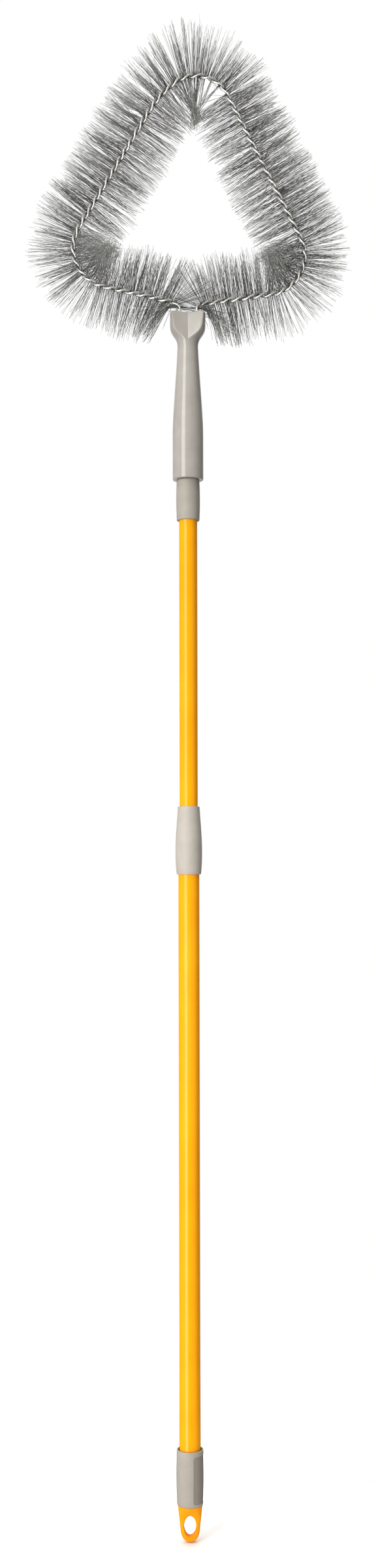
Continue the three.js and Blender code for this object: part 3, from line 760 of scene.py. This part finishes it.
# Middle line of the wire frame, in X and Z above the socket's top: straight stretches joined by arcs
def lay_straight(points, end):
    """Adds even steps from the last point to the end; returns the stretch's length."""
    start = points[-1]
    reach = (end - start).length
    count = max(2, round(reach / RUN_STEP))
    points += [start.lerp(end, k / count) for k in range(1, count + 1)]
    return reach


def wire_run():
    """Points along the wire, the length at the middle of each bend, and the whole length."""
    corners = [
        ((-LEG_HALF_SPACING, -LEG_LENGTH), 0),
        ((-LEG_HALF_SPACING, LEFT_BAR_RISE), LEG_BEND),
        (LEFT_CORNER, CORNER_BEND),
        (LEFT_SHOULDER, SHOULDER_BEND),
        (APEX, APEX_BEND),
        (RIGHT_CORNER, CORNER_BEND),
        ((LEG_HALF_SPACING, RIGHT_BAR_RISE), LEG_BEND),
        ((LEG_HALF_SPACING, -LEG_LENGTH), 0),
    ]
    places = [Vector(place) for place, _ in corners]
    points = [places[0]]
    middles = []
    length = 0
    for i in range(1, len(corners) - 1):
        point, bend = places[i], corners[i][1]
        back = (places[i - 1] - point).normalized()
        on = (places[i + 1] - point).normalized()
        half = math.acos(back.dot(on)) / 2
        arc = math.pi - 2 * half
        centre = point + (back + on).normalized() * bend / math.sin(half)
        length += lay_straight(points, point + back * bend / math.tan(half))
        middles.append(length + bend * arc / 2)
        length += bend * arc
        spoke = points[-1] - centre
        turn = -math.copysign(arc, back.cross(on))
        count = max(2, round(bend * arc / RUN_STEP))
        for k in range(1, count + 1):
            cos, sin = math.cos(turn * k / count), math.sin(turn * k / count)
            points.append(centre + Vector((spoke.x * cos - spoke.y * sin, spoke.x * sin + spoke.y * cos)))
    length += lay_straight(points, places[-1])
    return points, middles, length


def new_tree(name, sizes, others):
    """A geometry tree with inputs for the run, the named sizes and others by kind, and their sockets."""
    tree = bpy.data.node_groups.new(name, "GeometryNodeTree")
    tree.interface.new_socket("Geometry", in_out="OUTPUT", socket_type="NodeSocketGeometry")
    kinds = {"Run": "NodeSocketGeometry", **dict.fromkeys(sizes, "NodeSocketFloat"), **others}
    for label, kind in kinds.items():
        tree.interface.new_socket(label, in_out="INPUT", socket_type=kind)
    return tree, add(tree, "NodeGroupInput").outputs


def along_run(prefix, node, points, tree, sizes, others):
    """Makes a piece of the brush head with a geometry tree along the run, as a plain mesh."""
    values = {label: size * MM for label, size in sizes.items()} | others
    run = bpy.data.meshes.new(prefix + node)
    places = [(p.x * MM, 0, (up(SOCKET_TOP) + p.y) * MM) for p in points]
    run.from_pydata(places, [(i, i + 1) for i in range(len(places) - 1)], [])
    piece = placed(prefix + node, run)
    modifier = piece.modifiers.new("shape", "NODES")
    modifier.node_group = tree
    for socket in tree.interface.items_tree:
        if socket.name in values:
            modifier[socket.identifier] = values[socket.name]
    mesh = plain_mesh(piece)
    piece.modifiers.clear()
    piece.data = mesh
    mesh.shade_smooth()
    seated(piece, "brush_head", node)


def square_to_run(tree, tangent, outer_share, front_share):
    """The direction square to the run that has these shares of its outer side and of the front."""
    along = add(tree, "ShaderNodeSeparateXYZ", {0: tangent})
    down = add(tree, MATH, {0: along.outputs["Z"], 1: -1.0}, operation="MULTIPLY")
    outward = add(tree, "ShaderNodeCombineXYZ", {"X": down, "Z": along.outputs["X"]})
    outer = add(tree, VECTOR_MATH, {0: outward, "Scale": outer_share}, operation="SCALE")
    front = add(tree, VECTOR_MATH, {0: (0, -1, 0), "Scale": front_share}, operation="SCALE")
    return add(tree, VECTOR_MATH, {0: outer, 1: front}, operation="ADD")


def swept(tree, line, sides, radius):
    """A rod of even sides along a line."""
    section = add(tree, "GeometryNodeCurvePrimitiveCircle", {"Resolution": sides, "Radius": radius})
    return add(tree, "GeometryNodeCurveToMesh", {"Curve": line, "Profile Curve": section, "Fill Caps": True})


def ended(tree, shape, material):
    """The tree, ended with the shape made plain and given its material."""
    plain = add(tree, "GeometryNodeRealizeInstances", {"Geometry": shape})
    dressed = add(tree, "GeometryNodeSetMaterial", {"Geometry": plain, "Material": material})
    add(tree, "NodeGroupOutput", {"Geometry": dressed})
    return tree


# One of the two core wires: the run, pushed out along a left-handed twist and swept round
def twisted_wire_tree():
    tree, given = new_tree(
        "twisted wire", ["Offset", "Radius", "Pitch", "Step"], {"Steel": "NodeSocketMaterial"},
    )
    run = add(tree, "GeometryNodeMeshToCurve", {"Mesh": given["Run"]})
    even = add(tree, "GeometryNodeResampleCurve", {"Curve": run, "Length": given["Step"]}, mode="LENGTH")
    travelled = add(tree, "GeometryNodeSplineParameter").outputs["Length"]
    turns = add(tree, MATH, {0: travelled, 1: given["Pitch"]}, operation="DIVIDE")
    turn = add(tree, MATH, {0: turns, 1: -2 * math.pi}, operation="MULTIPLY")
    cos, sin = [add(tree, MATH, {0: turn}, operation=wave) for wave in ("COSINE", "SINE")]
    pair = square_to_run(tree, add(tree, "GeometryNodeInputTangent"), cos, sin)
    push = add(tree, VECTOR_MATH, {0: pair, "Scale": given["Offset"]}, operation="SCALE")
    helix = add(tree, "GeometryNodeSetPosition", {"Geometry": even, "Offset": push})
    return ended(tree, swept(tree, helix, WIRE_SIDES, given["Radius"]), given["Steel"])


# Filaments of one stretch of the run: clamped between the wires, they leave square to the pair
# and turn with the twist
def filament_tree():
    tree, given = new_tree("filaments", [
        "From", "To", "Spacing", "Pitch", "Length", "Radius", "Clump Width", "Crowding", "Crowding Fade",
        "Bare Half Width", "Comb Reach", "Outer Comb Reach", "Leg Spacing", "Comb Top", "Crown Foot",
        "Crown Top",
    ], {"Comb": "NodeSocketFloat", "Corner": "NodeSocketVector", "Filament": "NodeSocketMaterial"})
    run = add(tree, "GeometryNodeMeshToCurve", {"Mesh": given["Run"]})
    ends = {4: given["From"], 5: given["To"]}  # the node's inputs for lengths
    stretch = add(tree, "GeometryNodeTrimCurve", {"Curve": run, **ends}, mode="LENGTH")
    step = given["Spacing"]
    roots = add(tree, "GeometryNodeCurveToPoints", {"Curve": stretch, "Length": step}, mode="LENGTH")
    tangent = roots.outputs["Tangent"]
    index = add(tree, "GeometryNodeInputIndex")
    travelled = add(tree, MATH, {0: index, 1: step, 2: given["From"]}, operation="MULTIPLY_ADD")

    # Neighbours cling together in uneven clumps, other ones on each side of the wire
    odd = add(tree, MATH, {0: index, 1: 2.0}, operation="MODULO")
    uneven = add(tree, NOISE, {
        "W": travelled, "Scale": 1 / (CLUMP_UNEVENNESS * MM), "Detail": 1.0,
    }, noise_dimensions="1D")
    widths = add(tree, MATH, {0: travelled, 1: given["Clump Width"]}, operation="DIVIDE")
    swayed = add(tree, MATH, {0: uneven, 1: CLUMP_SWAY, 2: widths}, operation="MULTIPLY_ADD")
    sided = add(tree, MATH, {0: odd, 1: OTHER_SIDE, 2: swayed}, operation="MULTIPLY_ADD")
    clump = add(tree, MATH, {0: sided}, operation="FLOOR")
    in_clump = add(tree, MATH, {0: sided}, operation="FRACT")
    clump_stray, clump_tilt, clump_shade, clump_cut = [
        add(tree, RANDOM, {2: middle - swing, 3: middle + swing, "ID": clump, "Seed": seed}).outputs[1]
        for middle, swing, seed in (
            (0, CLUMP_STRAY, 17), (0, CLUMP_TILT, 18), (0, CLUMP_SHADE, 23), (1, CLUMP_CUT, 19),
        )
    ]

    # What each filament draws for itself: how far it strays, its tilt, its roll, how short it is cut,
    # its shade, how it is pushed and turned out in a corner, and its chance to stand where some are missing
    own_stray, own_tilt, roll, short, shade, push, way_out, chance = [
        add(tree, RANDOM, {2: low, 3: high, "Seed": seed}).outputs[1]
        for low, high, seed in (
            (-OWN_STRAY, OWN_STRAY, 11), (-OWN_TILT, OWN_TILT, 13), (0, 2 * math.pi, 14), (0, 1, 15),
            (0, 1, 16), (-CORNER_SPREAD, CORNER_SPREAD, 20), (-CORNER_TURN, CORNER_TURN, 22), (0, 1, 21),
        )
    ]
    few_short = add(tree, MATH, {0: short, 1: SHORT_RARITY}, operation="POWER")
    own_cut = add(tree, MATH, {0: few_short, 1: -SHORTEST_LOSS, 2: LONGEST_CUT}, operation="MULTIPLY_ADD")
    cut = add(tree, MATH, {0: own_cut, 1: clump_cut}, operation="MULTIPLY")

    # Inside the two lower corners they crowd each other: they spread and turn out to the front and the back
    root = add(tree, "GeometryNodeInputPosition")
    place = add(tree, "ShaderNodeSeparateXYZ", {0: root})
    distance = add(tree, MATH, {0: place.outputs["X"]}, operation="ABSOLUTE")
    from_corner = add(tree, VECTOR_MATH, {0: root, 1: given["Corner"]}, operation="DISTANCE")
    full = add(tree, MATH, {0: given["Crowding"], 1: given["Crowding Fade"]}, operation="SUBTRACT")
    corner = add(tree, MAP_RANGE, {
        "Value": from_corner.outputs["Value"], "From Min": given["Crowding"], "From Max": full,
    })
    inner = add(tree, MATH, {0: 1.0, 1: odd}, operation="SUBTRACT")
    crowded = add(tree, MATH, {0: corner, 1: inner}, operation="MULTIPLY")
    spread = add(tree, MATH, {0: crowded, 1: push}, operation="MULTIPLY")
    free = add(tree, MATH, {0: 1.0, 1: crowded}, operation="SUBTRACT")
    stray = add(tree, MATH, {0: free, 1: clump_stray, 2: own_stray}, operation="MULTIPLY_ADD")
    loose = add(tree, MATH, {0: crowded, 1: way_out, 2: stray}, operation="MULTIPLY_ADD")

    # Most are pressed into the plane of the triangle, the others follow the twist
    turns = add(tree, MATH, {0: travelled, 1: given["Pitch"]}, operation="DIVIDE")
    twist = add(tree, MATH, {0: turns, 1: -2 * math.pi}, operation="MULTIPLY")
    pressed = add(tree, RANDOM, {6: FLAT_SHARE, "Seed": 12}, data_type="BOOLEAN")
    set_turn = add(tree, SWITCH, {0: pressed.outputs[3], 1: twist, 2: math.pi / 2}, input_type="FLOAT")
    turn = add(tree, MATH, {0: set_turn, 1: loose}, operation="ADD")
    cos, sin = [add(tree, MATH, {0: turn}, operation=wave) for wave in ("COSINE", "SINE")]
    side = add(tree, MATH, {0: odd, 1: -2.0, 2: 1.0}, operation="MULTIPLY_ADD")
    front_share = add(tree, MATH, {0: cos, 1: side}, operation="MULTIPLY")
    sine_side = add(tree, MATH, {0: sin, 1: side}, operation="MULTIPLY")
    reach = add(tree, MATH, {0: sine_side, 1: -1.0}, operation="MULTIPLY")
    square = square_to_run(tree, tangent, reach, front_share)

    # On the arms they lean a little to upright, and beside the socket they are combed away from it
    along = add(tree, "ShaderNodeSeparateXYZ", {0: tangent})
    level = add(tree, MATH, {0: along.outputs["Z"], 1: ARM_LEAN}, operation="MULTIPLY")
    lean = add(tree, MATH, {0: level, 1: reach, 2: own_tilt}, operation="MULTIPLY_ADD")
    beyond = add(tree, MATH, {0: distance, 1: given["Leg Spacing"]}, operation="SUBTRACT")
    outside = add(tree, COMPARE, {0: reach, 1: 0.0}, operation="GREATER_THAN")
    combed_to = add(tree, SWITCH, {
        0: outside, 1: given["Comb Reach"], 2: given["Outer Comb Reach"],
    }, input_type="FLOAT")
    near = add(tree, MAP_RANGE, {"Value": beyond, "From Max": combed_to, "To Min": 1.0, "To Max": 0.0})
    low = add(tree, MATH, {0: place.outputs["Z"], 1: given["Comb Top"]}, operation="LESS_THAN")
    heading = add(tree, MATH, {0: place.outputs["X"], 1: along.outputs["X"]}, operation="MULTIPLY")
    away = add(tree, MATH, {0: heading}, operation="SIGN")
    comb = near
    for share in (given["Comb"], low, away):
        comb = add(tree, MATH, {0: comb, 1: share}, operation="MULTIPLY")
    combed = add(tree, MATH, {0: comb, 1: reach, 2: lean}, operation="MULTIPLY_ADD")
    drift = add(tree, MATH, {0: combed, 1: clump_tilt}, operation="ADD")

    # Tips draw together within each clump, and a little within each half turn of the twist
    half_turns = add(tree, MATH, {0: turns, 1: 2.0}, operation="MULTIPLY")
    in_tuft = add(tree, MATH, {0: half_turns}, operation="FRACT")
    off_tuft = add(tree, MATH, {0: 0.5, 1: in_tuft}, operation="SUBTRACT")
    off_clump = add(tree, MATH, {0: 0.5, 1: in_clump}, operation="SUBTRACT")
    tufted = add(tree, MATH, {0: off_tuft, 1: TUFT_GATHER, 2: drift}, operation="MULTIPLY_ADD")
    clumped = add(tree, MATH, {0: off_clump, 1: CLUMP_GATHER, 2: tufted}, operation="MULTIPLY_ADD")
    slope = add(tree, MATH, {0: clumped, 1: free, 2: spread}, operation="MULTIPLY_ADD")
    along_part = add(tree, VECTOR_MATH, {0: tangent, "Scale": slope}, operation="SCALE")
    direction = add(tree, VECTOR_MATH, {0: square, 1: along_part}, operation="ADD")

    # Inside the arms and under the lower bars, away from the socket, they stand further apart
    under = add(tree, SWITCH, {0: outside, 1: 0.0, 2: low}, input_type="FLOAT")
    far = add(tree, MATH, {0: 1.0, 1: near}, operation="SUBTRACT")
    far_under = add(tree, MATH, {0: under, 1: far}, operation="MULTIPLY")
    under_loss = add(tree, MATH, {0: far_under, 1: UNDERSIDE_LOSS}, operation="MULTIPLY")
    low_or_corner = add(tree, MATH, {0: low, 1: corner}, operation="MAXIMUM")
    arm = add(tree, MATH, {0: 1.0, 1: low_or_corner}, operation="SUBTRACT")
    in_arms = add(tree, SWITCH, {0: outside, 1: arm, 2: 0.0}, input_type="FLOAT")
    loss = add(tree, MATH, {0: in_arms, 1: ARM_LOSS, 2: under_loss}, operation="MULTIPLY_ADD")
    kept = add(tree, COMPARE, {0: chance, 1: loss}, operation="GREATER_THAN")

    # Inside the bend at the top, right of its middle, three spots are bare
    in_bend = add(tree, COMPARE, {0: in_arms, 1: 0.5}, operation="GREATER_THAN")
    for middle in BARE_SPOTS:
        spot = add(tree, COMPARE, {
            0: place.outputs["X"], 1: middle * MM, "Epsilon": given["Bare Half Width"],
        }, operation="EQUAL")
        bare = add(tree, "FunctionNodeBooleanMath", {0: spot, 1: in_bend}, operation="AND")
        kept = add(tree, "FunctionNodeBooleanMath", {0: kept, 1: bare}, operation="NIMPLY")

    # One filament: a slightly bent three-sided rod of unit length that thins to its tip
    line = add(tree, "GeometryNodeCurveQuadraticBezier", {
        "Resolution": FILAMENT_STEPS, "Start": (0, 0, 0), "Middle": (0, 0, FILAMENT_BEND_HEIGHT),
        "End": (FILAMENT_BEND * MM, 0, 1),
    })
    factor = add(tree, "GeometryNodeSplineParameter").outputs["Factor"]
    thin = add(tree, MAP_RANGE, {"Value": factor, "To Min": 1.0, "To Max": TIP_SHARE})
    tapered = add(tree, "GeometryNodeSetCurveRadius", {"Curve": line, "Radius": thin})
    marks = {"Geometry": tapered, "Name": "along", "Value": factor}
    marked = add(tree, "GeometryNodeStoreNamedAttribute", marks)
    filament = swept(tree, marked, FILAMENT_SIDES, given["Radius"])

    # Over the top of the triangle they are cut longer
    crown = add(tree, MAP_RANGE, {
        "Value": place.outputs["Z"], "From Min": given["Crown Foot"], "From Max": given["Crown Top"],
        "To Min": 1.0, "To Max": CROWN_GROWTH,
    }, interpolation_type="SMOOTHSTEP")
    even = add(tree, MATH, {0: crown, 1: given["Length"]}, operation="MULTIPLY")
    length = add(tree, MATH, {0: cut, 1: even}, operation="MULTIPLY")

    # Each is stretched to its length, aimed, rolled about itself and toned, with painted light that makes the
    # crowded corner ones paler
    size = add(tree, "ShaderNodeCombineXYZ", {"X": 1.0, "Y": 1.0, "Z": length})
    aimed = add(tree, "FunctionNodeAlignRotationToVector", {"Vector": direction}, axis="Z")
    spun = add(tree, "FunctionNodeEulerToRotation", {0: add(tree, "ShaderNodeCombineXYZ", {"Z": roll})})
    rolled = {"Rotation": aimed, "Rotate By": spun}
    turned = add(tree, "FunctionNodeRotateRotation", rolled, rotation_space="LOCAL")
    mottled = add(tree, MATH, {0: free, 1: clump_shade, 2: shade}, operation="MULTIPLY_ADD")
    # Painted light: filaments crowded in the lower corners get a paler tone, against their shade on each
    # other
    corner_lit = add(tree, MATH, {0: crowded, 1: CORNER_PAINTED_LIGHT, 2: mottled}, operation="MULTIPLY_ADD")
    tones = {"Geometry": roots, "Name": "shade", "Value": corner_lit}
    toned = add(tree, "GeometryNodeStoreNamedAttribute", tones)
    tufts = add(tree, "GeometryNodeInstanceOnPoints", {
        "Points": toned, "Selection": kept, "Instance": filament, "Rotation": turned, "Scale": size,
    })
    return ended(tree, tufts, given["Filament"])


def brush_wires_and_filaments():
    points, middles, run_length = wire_run()
    tree = twisted_wire_tree()
    for node, side in (("core_wire_a", 1), ("core_wire_b", -1)):
        along_run("twisted_", node, points, tree, {
            "Offset": side * WIRE_OFFSET, "Radius": WIRE_RADIUS, "Pitch": TWIST_PITCH, "Step": WIRE_STEP,
        }, {"Steel": steel_wire})
    _, left_corner, _, apex, right_corner, _ = middles
    end = run_length - BARE_END
    # Node, from, to, comb slope, corner, crowding
    stretches = (
        ("bristles_lower_left", BARE_END, left_corner, LEFT_COMB_SLOPE, LEFT_CORNER, BAR_CROWDING),
        ("bristles_left", left_corner, apex, LEFT_COMB_SLOPE, LEFT_CORNER, ARM_CROWDING),
        ("bristles_right", apex, right_corner, RIGHT_COMB_SLOPE, RIGHT_CORNER, ARM_CROWDING),
        ("bristles_lower_right", right_corner, end, RIGHT_COMB_SLOPE, RIGHT_CORNER, BAR_CROWDING),
    )
    foot = up(SOCKET_TOP)
    crown = foot + max(point.y for point in points)
    tree = filament_tree()
    for node, start, stop, comb, corner, crowding in stretches:
        along_run("filament_", node, points, tree, {
            "From": start, "To": stop, "Spacing": FILAMENT_SPACING, "Pitch": TWIST_PITCH,
            "Length": FILAMENT_LENGTH, "Radius": FILAMENT_RADIUS, "Clump Width": CLUMP_WIDTH,
            "Crowding": crowding, "Crowding Fade": CROWDING_FADE, "Bare Half Width": BARE_HALF_WIDTH,
            "Comb Reach": COMB_REACH, "Outer Comb Reach": OUTER_COMB_REACH,
            "Leg Spacing": LEG_HALF_SPACING, "Comb Top": foot + LEFT_CORNER[1],
            "Crown Foot": crown - CROWN_HEIGHT, "Crown Top": crown,
        }, {
            "Comb": comb, "Corner": (corner[0] * MM, 0, (foot + corner[1]) * MM), "Filament": filament_grey,
        })


def studio():
    """White paper, a tall soft box left of the camera, three fills, a light overhead and a backdrop."""
    paper = bmesh.new()
    bmesh.ops.create_circle(paper, cap_ends=True, segments=ROUND_SIDES, radius=FLOOR_RADIUS * MM)
    bmesh.ops.translate(paper, verts=paper.verts, vec=(0, 0, up(-FLOOR_GAP) * MM))
    mesh = bpy.data.meshes.new("paper_floor")
    paper.to_mesh(mesh)
    paper.free()
    mesh.materials.append(paper_white)
    floor = placed("paper_floor", mesh)
    floor.visible_glossy = False

    # Name, place, aim and size in metres, radiance, whether it shows in gloss
    lights = (
        ("soft_box", (-1.26, -1.8, 1.06), (0, 0, 1.06), (1.05, 4.22), 5.6, True),
        ("left_fill", (-2.4, -0.4, 0.8), (0, 0, 0.8), (2.0, 3.4), 1.0, False),
        ("middle_fill", (-0.08, -0.42, 0.46), (0, 0, 0.46), (0.4, 0.2), 2.4, False),
        ("right_fill", (1.9, -1.5, 0.8), (0, 0, 0.8), (1.6, 3.4), 1.0, False),
        ("overhead", (0, 0.3, 3.4), (0, 0.3, 0), (3.0, 3.0), 4.0, False),
        ("backdrop", (0, 2.4, 0.8), (0, 0, 0.8), (4.0, 3.0), 0.7, True),
    )
    for name, place, aim, size, radiance, in_gloss in lights:
        lamp = bpy.data.lights.new(name, "AREA")
        lamp.shape = "RECTANGLE"
        lamp.size, lamp.size_y = size
        lamp.energy = radiance * math.pi * size[0] * size[1]
        light = placed(name, lamp)
        light.visible_camera = False
        light.visible_glossy = in_gloss
        light.location = place
        light.rotation_euler = (Vector(aim) - Vector(place)).to_track_quat("-Z", "Y").to_euler()

    # White behind the brush, and a weak even light from all around
    world = bpy.data.worlds.new("white_studio")
    world.use_nodes = True
    tree = world.node_tree
    white = tree.nodes["Background"]
    connect(white, {"Color": grey(1), "Strength": 1.0})
    ambient = add(tree, "ShaderNodeBackground", {"Color": grey(1), "Strength": AMBIENT_LIGHT})
    seen = add(tree, "ShaderNodeLightPath").outputs["Is Camera Ray"]
    mixed = add(tree, "ShaderNodeMixShader", {0: seen, 1: ambient, 2: white})
    connect(tree.nodes["World Output"], {"Surface": mixed})
    bpy.context.scene.world = world
    bpy.context.scene.view_settings.view_transform = "Standard"


def photo_camera():
    """The photograph's place: level, in front, below the brush's middle, with a small upward shift."""
    lens = bpy.data.cameras.new("photo_camera")
    lens.sensor_width = CAMERA_SENSOR
    lens.lens = CAMERA_LENS
    lens.shift_y = CAMERA_SHIFT
    camera = placed("photo_camera", lens)
    camera.location = CAMERA_PLACE
    camera.rotation_euler = (math.pi / 2, CAMERA_ROLL, 0)
    bpy.context.scene.camera = camera


photo_camera()
studio()

# The twist lock is hidden in the pole and keeps its CAD solids
lock = (("lock_spindle", acetal), ("lock_ring", acetal), ("lock_washer", zinc), ("lock_screw", zinc))
for node, material in lock:
    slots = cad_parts[node].data.materials
    slots.clear()
    slots.append(material)

tube("lower_tube", LOWER_TUBE_RADIUS, LOWER_TUBE_FOOT, LOWER_TUBE_TOP, "lower_pole")
tube("upper_tube", UPPER_TUBE_RADIUS, UPPER_TUBE_FOOT, UPPER_TUBE_TOP, "upper_pole")
end_grip()
hang_loop()
clutch_sleeve()
threaded_tip()
brush_socket()
brush_wires_and_filaments()
